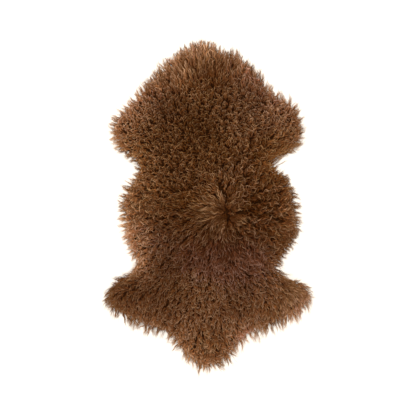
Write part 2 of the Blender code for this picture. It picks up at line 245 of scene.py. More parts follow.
def rim_places(points):
    """The rim's places in order: where the solid's side stands on the floor."""
    low = points[points[:, 2] < SAME_PLACE][:, :2]
    high = points[points[:, 2] > RIM_LEAST_HEIGHT][:, :2]
    low = np.unique(np.round(low, 6), axis=0)
    gap, _ = nearest(high, low)
    return in_order(low[gap < SAME_PLACE])


class Field:
    """Values on a level grid over the pelt, read between its points."""

    origin = np.array([cad_low.x - FIELD_MARGIN, cad_low.y - FIELD_MARGIN])
    shape = (
        int((cad_high.x - cad_low.x + 2 * FIELD_MARGIN) / FIELD_STEP) + 2,
        int((cad_high.y - cad_low.y + 2 * FIELD_MARGIN) / FIELD_STEP) + 2,
    )

    def __init__(self, values):
        self.values = values.reshape(self.shape)

    @classmethod
    def places(cls):
        i, j = np.meshgrid(np.arange(cls.shape[0]), np.arange(cls.shape[1]), indexing="ij")
        return cls.origin + np.stack([i, j], axis=-1) * FIELD_STEP

    def at(self, places):
        """The value at each of (..., 2) places."""
        grid = (places - self.origin) / FIELD_STEP
        grid = np.clip(grid, 0, np.array(self.shape) - 1.001)
        cell = np.floor(grid).astype(int)
        share = grid - cell
        i, j = cell[..., 0], cell[..., 1]
        u, v = share[..., 0], share[..., 1]
        f = self.values
        low = f[i, j] * (1 - u) + f[i + 1, j] * u
        high = f[i, j + 1] * (1 - u) + f[i + 1, j + 1] * u
        return low * (1 - v) + high * v


def blurred(values, radius):
    """The grid's values, smoothed over about this many metres."""
    for _ in range(max(1, round(2 * (radius / FIELD_STEP) ** 2))):
        p = np.pad(values, 1, mode="edge")
        values = (p[1:-1, 1:-1] * 4 + p[:-2, 1:-1] + p[2:, 1:-1] + p[1:-1, :-2] + p[1:-1, 2:]) / 8
    return values


def solid_tops(obj, places):
    """The height of the solid's top at each place, or 0 outside it."""
    mesh = obj.data
    corners = [tuple(v.co) for v in mesh.vertices]
    tree = BVHTree.FromPolygons(corners, [tuple(p.vertices) for p in mesh.polygons])
    down = Vector((0, 0, -1))
    above = cad_high.z + 0.1
    found = [tree.ray_cast(Vector((x, y, above)), down)[0] for x, y in places]
    return np.array([0.0 if f is None else f.z for f in found])


def inside_loop(loop, places):
    """Whether each of (n, 2) places is inside the loop."""
    x, y = places[:, 0], places[:, 1]
    inside = np.zeros(len(x), bool)
    for (x0, y0), (x1, y1) in zip(loop, np.roll(loop, -1, axis=0)):
        if y0 != y1:
            spans = (y0 > y) != (y1 > y)
            inside ^= spans & (x0 + (y - y0) / (y1 - y0) * (x1 - x0) > x)
    return inside


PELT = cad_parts["pelt"]
rim = rim_places(mesh_points(PELT))
grid_places = Field.places().reshape(-1, 2)
tops = solid_tops(PELT, grid_places)
rim_gap, _ = nearest(rim, grid_places)
depth = Field(np.where(inside_loop(rim, grid_places), rim_gap, -rim_gap))
reach_gap, _ = nearest(grid_places[(tops > 0) & (rim_gap < RIM_BAND)], grid_places)
reach = Field(np.where(tops > 0, 0.0, reach_gap))
slope = FLOOR_WOOL + (RIM_WOOL - FLOOR_WOOL) * np.exp(np.minimum(depth.values, 0) / FALL)
cover = Field(blurred(np.where(depth.values > 0, tops.reshape(Field.shape), slope), COVER_BLUR))
out_x, out_y = np.gradient(-blurred(depth.values, OUTWARD_BLUR) / FIELD_STEP)
outward_x, outward_y = Field(out_x), Field(out_y)


# ---- How the wool lies.

# Where the wool points, in degrees anticlockwise from +X, at these places in millimetres.
COMB = (
    (-30, 420, 98), (13, 415, 88), (-73, 388, 108), (74, 388, 84), (-19, 340, 95), (-100, 353, 115),
    (115, 340, 82), (-140, 313, 122), (155, 307, 84), (-180, 273, 128), (203, 265, 86), (-220, 246, 142),
    (240, 227, 60), (-247, 206, 168), (-239, 165, 198), (-207, 147, 215), (-180, 125, 205),
    (-153, 219, 122), (-113, 259, 108), (-19, 259, 92), (74, 259, 86), (155, 232, 80), (181, 179, 42),
    (248, 192, 18), (230, 157, 5), (190, 133, 10), (-86, 179, 112), (7, 179, 95), (101, 179, 70),
    (-167, 104, 165), (-188, 85, 155), (-127, 112, 132), (-46, 98, 110), (21, 98, 94), (88, 98, 65),
    (147, 112, 38), (181, 98, 28), (208, 72, 28), (-212, 45, 160), (-228, 5, 174), (-228, -35, 186),
    (-212, -76, 207), (-194, -110, 228), (-153, 31, 165), (-94, 45, 142), (-153, -22, 185),
    (-153, -76, 205), (-6, 5, 170), (-46, 18, 158), (-60, -14, 182), (-19, -52, 215), (-105, -14, 180),
    (88, 31, 60), (128, 45, 46), (155, 18, 20), (101, -14, -5), (155, -22, -10), (208, 31, 14),
    (227, -9, -5), (222, -49, -20), (195, -89, -36), (128, -62, -36), (74, -62, -60), (40, -81, -85),
    (-6, -89, 250), (-73, -89, 225), (-127, -102, 215), (88, -116, -60), (147, -121, -32), (7, -135, -92),
    (-68, -137, 240), (-153, -143, 215), (-180, -135, 228), (-194, -175, 205), (-234, -196, 190),
    (-266, -223, 203), (-255, -258, 272), (-220, -271, 284), (-180, -263, 252), (-153, -298, 256),
    (-113, -250, 240), (-100, -325, 242), (-46, -196, 250), (7, -210, 270), (61, -196, 290),
    (-6, -277, 268), (-73, -277, 250), (74, -277, 290), (155, -183, -25), (208, -183, -10),
    (254, -210, -36), (248, -250, -66), (208, -271, -85), (168, -236, -50), (155, -290, -90),
    (115, -317, -76), (82, -330, -70), (-46, -370, 250), (-6, -384, 268), (34, -370, 292), (-25, -424, 262),
    (2, -432, 270), (60, -384, 308),
)
COMB_SPREAD = 26.0

# How curled the locks are (0 to 1), how long in millimetres, and how light beside the mean.
FEEL = (
    (-19, 382, 0.12, 42, 0.7), (60, 392, 0.14, 38, 0.97), (-15, 425, 0.24, 34, 1.96),
    (-95, 335, 0.22, 34, 1.22), (-145, 335, 0.2, 32, 1.26), (101, 340, 0.34, 30, 1.21),
    (104, 283, 0.74, 17, 0.8), (-175, 255, 0.68, 18, 1.6), (-215, 268, 0.36, 24, 1.6),
    (195, 250, 0.75, 19, 1.34), (10, 286, 0.76, 15, 0.9), (-105, 272, 0.82, 15, 0.54),
    (30, 345, 0.36, 30, 0.32), (104, 145, 0.8, 20, 0.57), (-234, 192, 0.6, 22, 1.55),
    (235, 192, 0.5, 25, 1.06), (-113, 206, 0.85, 15, 0.69), (88, 206, 0.88, 16, 1.05),
    (-6, 179, 0.8, 15, 0.52), (208, 139, 0.2, 28, 0.9), (160, 138, 0.5, 24, 0.98),
    (-180, 125, 0.5, 22, 1.1), (-113, 112, 0.82, 17, 0.8), (-36, 125, 0.8, 18, 0.64),
    (12, 98, 0.78, 20, 0.67), (34, 140, 0.66, 20, 0.86), (28, 22, 0.22, 31, 0.94), (115, 98, 0.7, 26, 0.62),
    (170, -210, 0.4, 24, 1.18), (181, 93, 0.25, 28, 0.65), (-194, 58, 0.55, 25, 1.36),
    (-40, 62, 0.8, 18, 0.66), (-80, 20, 0.55, 22, 0.7), (-75, -40, 0.55, 24, 0.54),
    (-153, 18, 0.65, 24, 0.8), (-220, -22, 0.4, 30, 1.34), (-40, 5, 0.34, 26, 0.21),
    (-10, -25, 0.14, 34, 0.69), (10, -60, 0.25, 32, 0.42), (101, 5, 0.7, 32, 0.33),
    (155, 5, 0.62, 30, 0.52), (101, 45, 0.72, 26, 0.54), (222, -22, 0.24, 34, 0.98),
    (208, 45, 0.45, 26, 0.76), (101, -49, 0.6, 32, 0.49), (168, -76, 0.42, 32, 0.53),
    (55, -76, 0.36, 32, 0.43), (-46, -76, 0.38, 33, 0.54), (-140, -76, 0.55, 26, 0.72),
    (-194, -90, 0.5, 28, 2.5), (7, -129, 0.45, 23, 0.65), (128, -129, 0.45, 24, 0.66),
    (165, -140, 0.45, 24, 0.86), (-113, -143, 0.45, 22, 0.48), (-175, -138, 0.5, 24, 1.66),
    (-220, -191, 0.4, 22, 0.42), (-255, -231, 0.28, 26, 0.9), (-153, -236, 0.34, 22, 0.6),
    (-100, -210, 0.45, 20, 0.8), (-6, -196, 0.52, 19, 1.1), (101, -210, 0.48, 20, 0.86),
    (208, -196, 0.18, 26, 0.62), (248, -228, 0.12, 28, 0.88), (243, -262, 0.2, 27, 2.2),
    (-6, -290, 0.5, 22, 1.14), (98, -275, 0.46, 22, 0.68), (-175, -292, 0.38, 25, 1.14),
    (168, -277, 0.35, 28, 0.92), (104, -340, 0.45, 27, 2.3), (30, -350, 0.48, 27, 0.75),
    (-19, -375, 0.48, 28, 1.25), (-6, -424, 0.4, 30, 1.55),
)
FEEL_SPREAD = 32.0
# How much further than elsewhere the wool reaches past the solid: x, y and this in millimetres.
FURTHER = (
    (246, -211, 12), (283, -218, -1), (210, 54, 5), (208, 123, 13), (60, -402, 10), (-92, -402, 18),
    (-279, -215, 8), (-242, -177, 11), (-204, -177, 5), (-204, -65, 4), (-242, 10, 5), (-242, -27, 5),
    (-240, 48, 12), (-242, 160, 3), (-242, 198, 3), (246, -65, 12), (246, -24, -3), (-129, 385, -9),
    (-145, 372, -5), (-242, 273, 3), (-92, 423, 3), (-129, -365, 4), (-242, 235, -5), (208, 310, -5),
    (-244, -65, -9), (283, -255, -7), (246, -290, -4), (133, -365, -6), (171, 310, 2), (246, 198, 2),
    (-17, -440, 5), (208, -327, 10), (-167, 310, 2), (208, -177, -6), (-129, -327, -3), (50, 420, -6),
    (-204, 48, -4), (-204, 123, -4), (243, 48, -8),
)
FURTHER_SPREAD = 19.0
WHORL = np.array([50.0, -17.0]) * MM
WHORL_RADIUS = 22 * MM
WHORL_WOOL, WHORL_SPACING = 30 * MM, 3.6 * MM  # more locks grow within this of it
RIM_PULL = 14 * MM
RIM_SHARE, WISP_RIM_SHARE = 0.35, 0.12  # how much locks and wisps turn outwards at the rim
# Locks near the rim are painted lighter: painted light on the thin wool there, where light comes through it
# and round it.
MIDDLE_LIGHT, RIM_PAINTED_LIGHT, RIM_PAINTED_LIGHT_FALL = 0.97, 0.05, 12 * MM
# Where the wool parts, from x, y to x, y in millimetres.
PARTINGS = (
    (34, 52, 44, 26), (48, 14, 53, -4), (54, -10, 56, -24), (56, -24, 52, -40), (64, -14, 84, -17),
    (84, -17, 104, -12), (62, -36, 82, -31), (82, -31, 112, -38), (145, -18, 165, -24),
    (165, -24, 186, -35), (94, 74, 99, 44), (-70, -80, -56, -84),
)
PARTING_WIDTH = 1.5 * MM
PARTING_PUSH, PARTING_TURN = 0.4, 5 * MM  # within this of a parting the wool turns away from it
PARTING_CALM, CALM = 9 * MM, 0.75  # within this it lies more nearly alike
PARTING_SHORT, SHORT = 9 * MM, 0.6  # within this it is shorter, down to this share
PARTING_PAINTED_SHADE = 3.4 * MM  # and within this its roots are painted dark: painted shade in the parting


def weighted(places, rows, spread):
    """How much each row counts at each place, by how near its own place is."""
    rows = np.array(rows, float)
    gaps = (places[:, None, :] / MM - rows[None, :, :2]) / spread
    squares = (gaps ** 2).sum(axis=2)
    shares = np.exp(-0.5 * (squares - squares.min(axis=1, keepdims=True)))
    return shares / shares.sum(axis=1, keepdims=True)


def bell(gap, spread):
    return np.exp(-0.5 * (gap / spread) ** 2)


def lengths(vectors):
    """The length of each vector, kept as a column."""
    return np.linalg.norm(vectors, axis=-1, keepdims=True)


def from_line(places, line):
    """From a line's nearest point to each place."""
    start, end = np.array(line[:2]) * MM, np.array(line[2:]) * MM
    along = end - start
    share = np.clip((places - start) @ along / (along @ along), 0, 1)
    return places - start - share[:, None] * along


def parting_gap(places):
    """The distance from each place to the nearest parting."""
    return np.min([np.linalg.norm(from_line(places, line), axis=1) for line in PARTINGS], axis=0)


def way_out(places):
    """Outwards from each place, not always of length 1."""
    return np.stack([outward_x.at(places), outward_y.at(places)], axis=1)


def near_rim(places, fall):
    """1 at the rim and past it, and falling further in."""
    return np.exp(-np.maximum(depth.at(places), 0) / fall)


def combed(places, rim_share=RIM_SHARE):
    """The angle in radians that the wool points at each place."""
    shares = weighted(places, COMB, COMB_SPREAD)
    angles = np.radians(np.array(COMB)[:, 2])
    course = shares @ np.stack([np.cos(angles), np.sin(angles)], axis=1)
    course /= lengths(course) + 1e-9
    off = places - WHORL
    distance = lengths(off) + 1e-9
    near = bell(distance, WHORL_RADIUS)
    course = course * (1 - near) + off / distance * near
    for line in PARTINGS:
        off = from_line(places, line)
        distance = lengths(off) + 1e-9
        near = PARTING_PUSH * np.exp(-distance / PARTING_TURN)
        course = course * (1 - near) + off / distance * near
    course = course + way_out(places) * rim_share * near_rim(places, RIM_PULL)[:, None]
    return np.arctan2(course[:, 1], course[:, 0])


def felt(places):
    """How curled, how long in metres and how light the locks are at each place."""
    values = weighted(places, FEEL, FEEL_SPREAD) @ np.array(FEEL)[:, 2:]
    return values[:, 0], values[:, 1] * MM, values[:, 2]


def changes(places, rows):
    """The sum of the rows' changes at each place."""
    total = np.zeros(len(places))
    for x, y, wide, long, change in rows:
        off = (places / MM - (x, y)) / (wide, long)
        total += change * np.exp(-0.5 * (off ** 2).sum(axis=1))
    return total


def further(places):
    """How much further the wool reaches at each place, in metres."""
    rows = np.array(FURTHER, float)
    gaps = (places[:, None, :] / MM - rows[None, :, :2]) / FURTHER_SPREAD
    return np.exp(-0.5 * (gaps ** 2).sum(axis=2)) @ rows[:, 2] * MM


def scattered(spacing, low, high):
    """Places about this far apart over the box from low to high, in no straight rows."""
    row = spacing * math.sqrt(0.75)
    columns = int((high[0] - low[0]) / spacing) + 2
    rows = int((high[1] - low[1]) / row) + 2
    i, j = np.meshgrid(np.arange(columns), np.arange(rows), indexing="ij")
    x = low[0] + (i + 0.5 * (j % 2)) * spacing
    y = low[1] + j * row
    places = np.stack([x.ravel(), y.ravel()], axis=1)
    return places + rng.uniform(-JITTER, JITTER, places.shape) * spacing


def smooth(share):
    share = np.clip(share, 0, 1)
    return share * share * (3 - 2 * share)


def by_curl(pair, curl):
    """A value of straight wool, and what this much curl adds to it."""
    return pair[0] + pair[1] * curl


def signs(draws, share=0.5):
    """-1 for about this share of the draws, and 1 for the others."""
    return np.where(draws < share, -1.0, 1.0)


# ---- Locks.

class Locks:
    """Curled, tapered locks: what each one is like, as arrays with one value a lock."""

    def __init__(self, roots, rings):
        count = len(roots)
        self.roots = roots
        self.rings = rings
        self.angle = combed(roots)
        self.curl, self.length, self.light = felt(roots)
        # Painted light near the rim.
        self.light *= MIDDLE_LIGHT + RIM_PAINTED_LIGHT * near_rim(roots, RIM_PAINTED_LIGHT_FALL)
        self.size = self.length / USUAL_LENGTH
        self.way = signs(rng.random(count))
        self.on_top = np.zeros(count, bool)
        self.pull = np.zeros((count, 2))
        self.radius = LOCK_RADIUS * self.size ** RADIUS_BY_SIZE
        self.swing = SWING * self.size
        self.low = np.full(count, ROOT_LEVEL)
        self.bend, self.tip_rise, self.first, self.tint = np.zeros((4, count))
        self.level, self.last = np.ones((2, count))

    def paths(self):
        """The locks' middle lines, (count, rings, 3)."""
        s = np.linspace(0, 1, self.rings)[None, :]
        angle = self.angle[:, None] + self.bend[:, None] * (s ** HOOK - HOOK_BACK)
        step = (self.length / (self.rings - 1))[:, None]
        course = np.stack([np.cos(angle), np.sin(angle)], axis=2)
        steps = course * step[..., None]
        flat = np.cumsum(steps, axis=1) - steps[:, :1]
        flat = flat + self.roots[:, None, :] + self.pull[:, None, :] * (s ** PULL_LATE)[..., None]
        turn = math.tau * (CURLS * s + FIRST_CURL)
        swing = self.swing[:, None] * smooth(s / SWING_FROM) * (1 - SWING_LOSS * s)
        side = np.stack([-np.sin(angle), np.cos(angle)], axis=2)
        flat = flat + side * (self.way[:, None] * swing * np.sin(turn))[..., None]
        rise = self.low[:, None] + (self.level - self.low)[:, None] * smooth(s / RISE_BY)
        rise += self.tip_rise[:, None] * s ** 2
        height = cover.at(flat) * rise + LIFT * swing * np.cos(turn)
        height = np.clip(height, self.radii() + OFF_FLOOR, cad_high.z + OVER_SOLID)
        return np.concatenate([flat, height[..., None]], axis=2)

    def radii(self):
        s = np.linspace(0, 1, self.rings)[None, :]
        bulge = 1 - BULGE + BULGE * np.sin(math.pi * s)
        return self.radius[:, None] * bulge * (1 - TAPER * s ** 3)

    def kept_in_reach(self, most, past_rim, least):
        """Shortens the locks that leave the solid, or its rim, by more than this."""
        for _ in range(CUTS):
            flat = self.paths()[..., :2]
            beyond = (reach.at(flat) > most) | (depth.at(flat) < -past_rim)
            first = np.where(beyond.any(axis=1), beyond.argmax(axis=1), self.rings)
            share = np.clip((first - 0.5) / (self.rings - 1), DEEPEST_CUT, 1)
            self.length = np.maximum(self.length * np.where(first < self.rings, share, 1), least)

    def some(self, kept, rings):
        """The locks that are kept, with this many rings."""
        part = copy.copy(self)
        part.rings = rings
        for name, value in vars(self).items():
            if isinstance(value, np.ndarray):
                setattr(part, name, value[kept])
        return part


def wool_roots():
    """Where the locks grow: everywhere but in the partings."""
    roots = scattered(LOCK_SPACING, rim.min(axis=0), rim.max(axis=0))
    more = scattered(WHORL_SPACING, WHORL - WHORL_WOOL, WHORL + WHORL_WOOL)
    more = more[np.linalg.norm(more - WHORL, axis=1) < WHORL_WOOL]
    roots = np.concatenate([roots, more])
    spread = ROOT_SPREAD * np.maximum(further(roots) - ROOT_SPREAD_FROM, 0)
    kept = depth.at(roots) > ROOT_INSET - spread
    return roots[kept & (parting_gap(roots) > PARTING_WIDTH)]


def in_step(roots, centres):
    """The roots, moved along the wool so that a clump's locks start, and curl, together."""
    angle = combed(centres)
    course = np.stack([np.cos(angle), np.sin(angle)], axis=1)
    ahead = ((roots - centres) * course).sum(axis=1)
    return roots - course * (ahead * IN_STEP * smooth(felt(centres)[0] / IN_STEP_CURL))[:, None]


def lay(locks, alike, calm):
    """Turns and bends the locks: nearly alike in a clump, and less where they are calm."""
    count, curl = len(locks.roots), locks.curl
    locks.angle += alike(rng.normal, 0, 1) * by_curl(CLUMP_TURN_BY_CURL, curl) * calm
    locks.angle += rng.normal(0, 1, count) * by_curl(LOCK_TURN_BY_CURL, curl) * calm
    locks.length *= alike(rng.uniform, *CLUMP_LENGTH) * rng.uniform(*LOCK_LENGTH, count)
    hooked = alike(rng.random) < HOOKED_SHARE * curl * smooth((curl - HOOKED_FROM) / HOOKED_OVER)
    way = signs(alike(rng.random))
    locks.way = way * signs(rng.random(count), OTHER_WAY)
    bend = np.where(hooked, alike(rng.uniform, *HOOKED_BEND), alike(rng.uniform, *USUAL_BEND))
    bend = way * bend * by_curl(CLUMP_BEND_BY_CURL, curl)
    locks.bend = (bend + rng.normal(0, 1, count) * by_curl(LOCK_BEND_BY_CURL, curl)) * calm


def layer(locks, alike):
    """Lays some locks, longer ones, over the others."""
    count = len(locks.roots)
    top = rng.random(count) < TOP_SHARE
    locks.on_top = top
    locks.level = np.where(top, rng.uniform(*TOP_LEVEL, count), rng.uniform(*LOWER_LEVEL, count))
    locks.level *= alike(rng.uniform, *CLUMP_LEVEL)
    locks.tip_rise = np.where(top, rng.uniform(*TOP_TIP, count), rng.uniform(*LOWER_TIP, count))
    locks.length *= np.where(top, TOP_LENGTH, 1.0)


def thicken(locks, to_middle):
    """Draws the locks to their clumps' middles, and sets how thick they are and how they wave."""
    count, top = len(locks.roots), locks.on_top
    tight = LONG_PULL * smooth((locks.length / USUAL_LENGTH - 1.0) / LONG_OVER)
    locks.pull = to_middle * (rng.uniform(*PULL, count) + tight)[:, None]
    locks.radius *= rng.uniform(*LOCK_WIDTH, count) * np.where(top, TOP_WIDTH, 1.0)
    locks.swing *= by_curl(SWING_BY_CURL, locks.curl) * rng.uniform(*LOCK_SWING, count)
    locks.swing *= np.where(top, TOP_SWING, 1.0)


def shade(locks, alike):
    """Sets how light the locks are, with more contrast where they are long and curled. Locks on top get
    painted light and lower ones painted shade, for their depth in the wool.
    """
    roots, curl = locks.roots, locks.curl
    contrast = by_curl(CONTRAST_BY_CURL, curl) * locks.size ** CONTRAST_BY_SIZE
    contrast *= 1 + changes(roots, UNEVEN)
    clump = alike(rng.normal, 0, CLUMP_LIGHT)
    differ = rng.normal(0, LOCK_LIGHT, len(roots)) * contrast
    locks.light *= 1 + clump + differ
    # Painted light on the locks on top, painted shade on the lower ones.
    locks.light *= 1 + np.where(locks.on_top, TOP_PAINTED_LIGHT, LOWER_PAINTED_SHADE) * contrast
    from_whorl = np.linalg.norm(roots - WHORL, axis=1)
    even = smooth((EVEN_WOOL - curl) / EVEN_WOOL_OVER)
    locks.first = np.maximum(WHORL_FIRST * bell(from_whorl, WHORL_WOOL), EVEN_FIRST * even)
    locks.low += WHORL_RISE * bell(from_whorl, WHORL_RADIUS)


def shorten(locks):
    """Shortens the locks at the rim, least where they are straight."""
    count = len(locks.roots)
    even = smooth((EVEN_EDGE - locks.curl) / EVEN_EDGE_OVER)[:, None]
    more = further(locks.roots)[:, None]
    out = (rng.uniform(*OUT_MM, (count, 1)) + EVEN_OUT_MM * even) * MM + more
    past_rim = (rng.uniform(*PAST_RIM_MM, (count, 1)) + EVEN_PAST_RIM_MM * even) * MM
    past_rim = np.maximum(past_rim + FURTHER_PAST_RIM * more, LEAST_PAST_RIM)
    locks.kept_in_reach(np.maximum(out, LEAST_OUT), past_rim, SHORTEST)


def wool_locks():
    """The locks all over the pelt, in clumps that lie and curl alike."""
    roots = wool_roots()
    low, high = rim.min(axis=0) - CLUMPS_PAST_RIM, rim.max(axis=0) + CLUMPS_PAST_RIM
    centres = scattered(CLUMP_SPACING, low, high)
    _, clump = nearest(centres, roots)
    roots = in_step(roots, centres[clump])

    def alike(draw, *limits):
        """One draw for each clump, given to its locks."""
        return draw(*limits, len(centres))[clump]

    locks = Locks(roots, TOP_RINGS)
    parted = parting_gap(roots)
    lay(locks, alike, 1 - CALM * np.exp(-parted / PARTING_CALM))
    layer(locks, alike)
    thicken(locks, centres[clump] - roots)
    shade(locks, alike)
    # Painted shade in the partings: locks beside one start at the dark root colour.
    locks.first *= 1 - np.exp(-parted / PARTING_PAINTED_SHADE)
    locks.length *= SHORT + (1 - SHORT) * smooth(parted / PARTING_SHORT)
    shorten(locks)
    return locks


def way_round(loop):
    """How far round the loop each of its places is, and last the whole way round."""
    steps = lengths(np.roll(loop, -1, axis=0) - loop)[:, 0]
    return np.concatenate([[0], np.cumsum(steps)])


def on_loop(loop, along):
    """The places this far round the loop."""
    ends, closed = way_round(loop), np.vstack([loop, loop[:1]])
    return np.stack([np.interp(along, ends, closed[:, k]) for k in (0, 1)], axis=1)


def along_rim(spacing):
    """Places along the rim, about this far apart, and the way out at each."""
    whole = way_round(rim)[-1]
    count = int(whole / spacing)
    along = np.arange(count) + rng.uniform(-TUFT_JITTER, TUFT_JITTER, count)
    places = on_loop(rim, along * whole / count % whole)
    out = way_out(places)
    return places, out / lengths(out)


def rim_wisps():
    """Thin locks that lie on the floor past the rim, drawn together into pointed tufts."""
    centres, out = along_rim(TUFT_SPACING)
    count, tufts = len(centres) * TUFT_LOCKS, len(centres)
    tuft = np.repeat(np.arange(tufts), TUFT_LOCKS)
    sideways = np.stack([-out[:, 1], out[:, 0]], axis=1)[tuft]
    centres = centres - out * rng.uniform(*TUFT_INSET, tufts)[:, None]
    roots = centres[tuft] + sideways * rng.uniform(-WISP_SIDEWAYS, WISP_SIDEWAYS, count)[:, None]
    roots += out[tuft] * rng.uniform(*WISP_OUT, count)[:, None]
    wisps = Locks(roots, WISP_RINGS)
    wisps.angle = combed(centres, WISP_RIM_SHARE)[tuft] + rng.normal(0, TUFT_TURN, tufts)[tuft]
    wisps.angle += rng.normal(0, WISP_TURN, count)
    wisps.length = rng.uniform(*TUFT_LENGTH, tufts)[tuft] * rng.uniform(*WISP_LENGTH, count)
    wisps.bend = rng.normal(0, TUFT_BEND, tufts)[tuft] + rng.normal(0, WISP_BEND, count)
    wisps.way = wisps.way[tuft]
    wisps.first[:], wisps.last[:], wisps.tint[:] = WISP_ROOT, WISP_TIP, WISP_TINT
    wisps.level = rng.uniform(*WISP_LEVEL, count)
    wisps.pull = (centres[tuft] - roots) * rng.uniform(*WISP_PULL, count)[:, None]
    wisps.radius = WISP_RADIUS * rng.uniform(*WISP_WIDTH, count)
    wisps.swing = WISP_SWING * rng.uniform(*WISP_SWINGS, count)
    wisps.light *= rng.normal(*TUFT_LIGHT, tufts)[tuft] * rng.normal(*WISP_LIGHT, count)
    limit = rng.uniform(*TUFT_REACH, tufts)[tuft] ** 2 * MM * rng.uniform(*WISP_REACH, count)
    limit += further(centres)[tuft]
    stray = rng.random(count) < STRAY_SHARE
    wisps.radius = np.where(stray, STRAY_WIDTH * wisps.radius, wisps.radius)
    wisps.length = np.where(stray, STRAY_LENGTH * wisps.length, wisps.length)
    limit = np.where(stray, limit + rng.uniform(*STRAY_REACH, count), limit)
    wisps.kept_in_reach(np.maximum(limit, LEAST_REACH)[:, None], math.inf, SHORTEST_WISP)
    return wisps


def rings_round(paths, radii):
    """The corners of the locks' rings, (count, rings, SIDES, 3)."""
    run = np.gradient(paths, axis=1)
    run /= lengths(run) + 1e-12
    side = np.cross(run[:, 0], (0.0, 0.0, 1.0))
    side[np.linalg.norm(side, axis=1) < 1e-3] = (1.0, 0.0, 0.0)
    corners = np.empty(paths.shape[:2] + (SIDES, 3))
    for ring in range(paths.shape[1]):
        ahead = run[:, ring]
        side = side - ahead * (side * ahead).sum(axis=1, keepdims=True)
        side /= lengths(side) + 1e-12
        up = np.cross(side, ahead)
        for corner in range(SIDES):
            angle = math.tau * (corner + FIRST_CORNER) / SIDES
            arm = side * math.cos(angle) + up * math.sin(angle)
            corners[:, ring, corner] = paths[:, ring] + arm * radii[:, ring, None]
    return corners


def lock_points(paths, radii):
    """Each lock's points: its rings' corners and its tip."""
    corners = rings_round(paths, radii).reshape(len(paths), -1, 3)
    tips = paths[:, -1] + (paths[:, -1] - paths[:, -2]) * POINT
    tips[:, 2] = np.maximum(tips[:, 2], POINT_OFF_FLOOR)
    return np.concatenate([corners, tips[:, None]], axis=1)


def lock_faces(rings):
    """One lock's faces, and their corners' places on it: (across, along), each 0 to 1."""
    faces, places = [], []
    for ring in range(rings - 1):
        a, b = ring * SIDES, (ring + 1) * SIDES
        v0, v1 = (TIP_PLACE * k / (rings - 1) for k in (ring, ring + 1))
        for side in range(SIDES):
            after = (side + 1) % SIDES
            u0, u1 = side / SIDES, (side + 1) / SIDES
            faces.append((a + side, a + after, b + after, b + side))
            places.append(((u0, v0), (u1, v0), (u1, v1), (u0, v1)))
    last, tip = (rings - 1) * SIDES, rings * SIDES
    for side in range(SIDES):
        u0, u1 = side / SIDES, (side + 1) / SIDES
        faces.append((last + side, last + (side + 1) % SIDES, tip))
        places.append(((u0, TIP_PLACE), (u1, TIP_PLACE), ((u0 + u1) / 2, 1.0)))
    faces.append(tuple(range(SIDES))[::-1])
    places.append(ROOT_PLACES)
    return faces, np.concatenate(places)


def tints(places, change):
    """Each lock's tint, moved by its change: golden at the back's left, purplish over the loin."""
    tint = USUAL_TINT + RIM_TINT * near_rim(places, RIM_TINT_FALL) + changes(places, TINTED) + change
    tint = (HUES - 1) * tint + rng.normal(0, TINT_SPREAD, len(places))
    return np.clip(np.round(tint), 0, HUES - 1)


def lock_maps(locks, places):
    """Each lock's face corners on the map: across by shade and tint, along from root to tip."""
    light = (locks.light - LEAST_LIGHT) / (MOST_LIGHT - LEAST_LIGHT) * (LIGHTS - 1)
    light = np.clip(np.round(light), 0, LIGHTS - 1)
    strip = light + LIGHTS * tints(locks.roots, locks.tint)
    inside = (1 - 2 * STRIP_EDGE) * places[None, :, 0]
    across = (strip[:, None] + STRIP_EDGE + inside) / (LIGHTS * HUES)
    along = locks.first[:, None] + (locks.last - locks.first)[:, None] * places[None, :, 1]
    return np.stack([across, along], axis=2).reshape(-1, 2)


def filled_mesh(name, points, corners, sizes, maps):
    """A mesh with these points, its faces' corners and sizes, and the corners' places on the map."""
    mesh = bpy.data.meshes.new(name)
    mesh.vertices.add(len(points))
    mesh.vertices.foreach_set("co", points.astype(np.float32).ravel())
    mesh.loops.add(len(corners))
    mesh.loops.foreach_set("vertex_index", corners.astype(np.int32))
    mesh.polygons.add(len(sizes))
    firsts = np.concatenate([[0], np.cumsum(sizes)[:-1]])
    mesh.polygons.foreach_set("loop_start", firsts.astype(np.int32))
    mesh.polygons.foreach_set("use_smooth", np.ones(len(sizes), bool))
    mesh.update(calc_edges=True)
    layer = mesh.uv_layers.new(name="OFBake")
    layer.data.foreach_set("uv", maps.astype(np.float32).ravel())
    return mesh


def linked(name, data):
    """A new object in the scene."""
    obj = bpy.data.objects.new(name, data)
    bpy.context.collection.objects.link(obj)
    return obj


def placed(mesh, material):
    """A new object of the mesh, in this material."""
    mesh.materials.append(material)
    return linked(mesh.name, mesh)


def lock_piece(name, groups, material):
    """An object of these groups of locks."""
    parts = [], [], [], []
    total = 0
    for locks in groups:
        points = lock_points(locks.paths(), locks.radii())
        faces, places = lock_faces(locks.rings)
        count, per_lock = points.shape[:2]
        starts = total + np.arange(count)[:, None] * per_lock
        corners = (starts + np.concatenate(faces)).ravel()
        sizes = np.tile([len(face) for face in faces], count)
        maps = lock_maps(locks, places)
        for part, more in zip(parts, (points.reshape(-1, 3), corners, sizes, maps)):
            part.append(more)
        total += count * per_lock
    mesh = filled_mesh(name, *(np.concatenate(part) for part in parts))
    obj = placed(mesh, material)
    mesh.validate()
    return obj


# ---- Bed and skin.

def within(spacing, inset):
    """Places about this far apart, at least this far inside the rim."""
    places = scattered(spacing, rim.min(axis=0), rim.max(axis=0))
    return places[depth.at(places) > inset + LOOP_GAP * spacing]


def inset_loop(inset, spacing):
    """A loop this far inside the rim."""
    out = way_out(rim)
    out /= lengths(out)
    loop = rim.copy()
    for _ in range(LOOP_STEPS):
        loop = loop + out * ((depth.at(loop) - inset) * LOOP_PACE)[:, None]
        loop = (loop * 2 + np.roll(loop, 1, axis=0) + np.roll(loop, -1, axis=0)) / 4
    whole = way_round(loop)[-1]
    return on_loop(loop, np.linspace(0, whole, int(whole / spacing), endpoint=False))


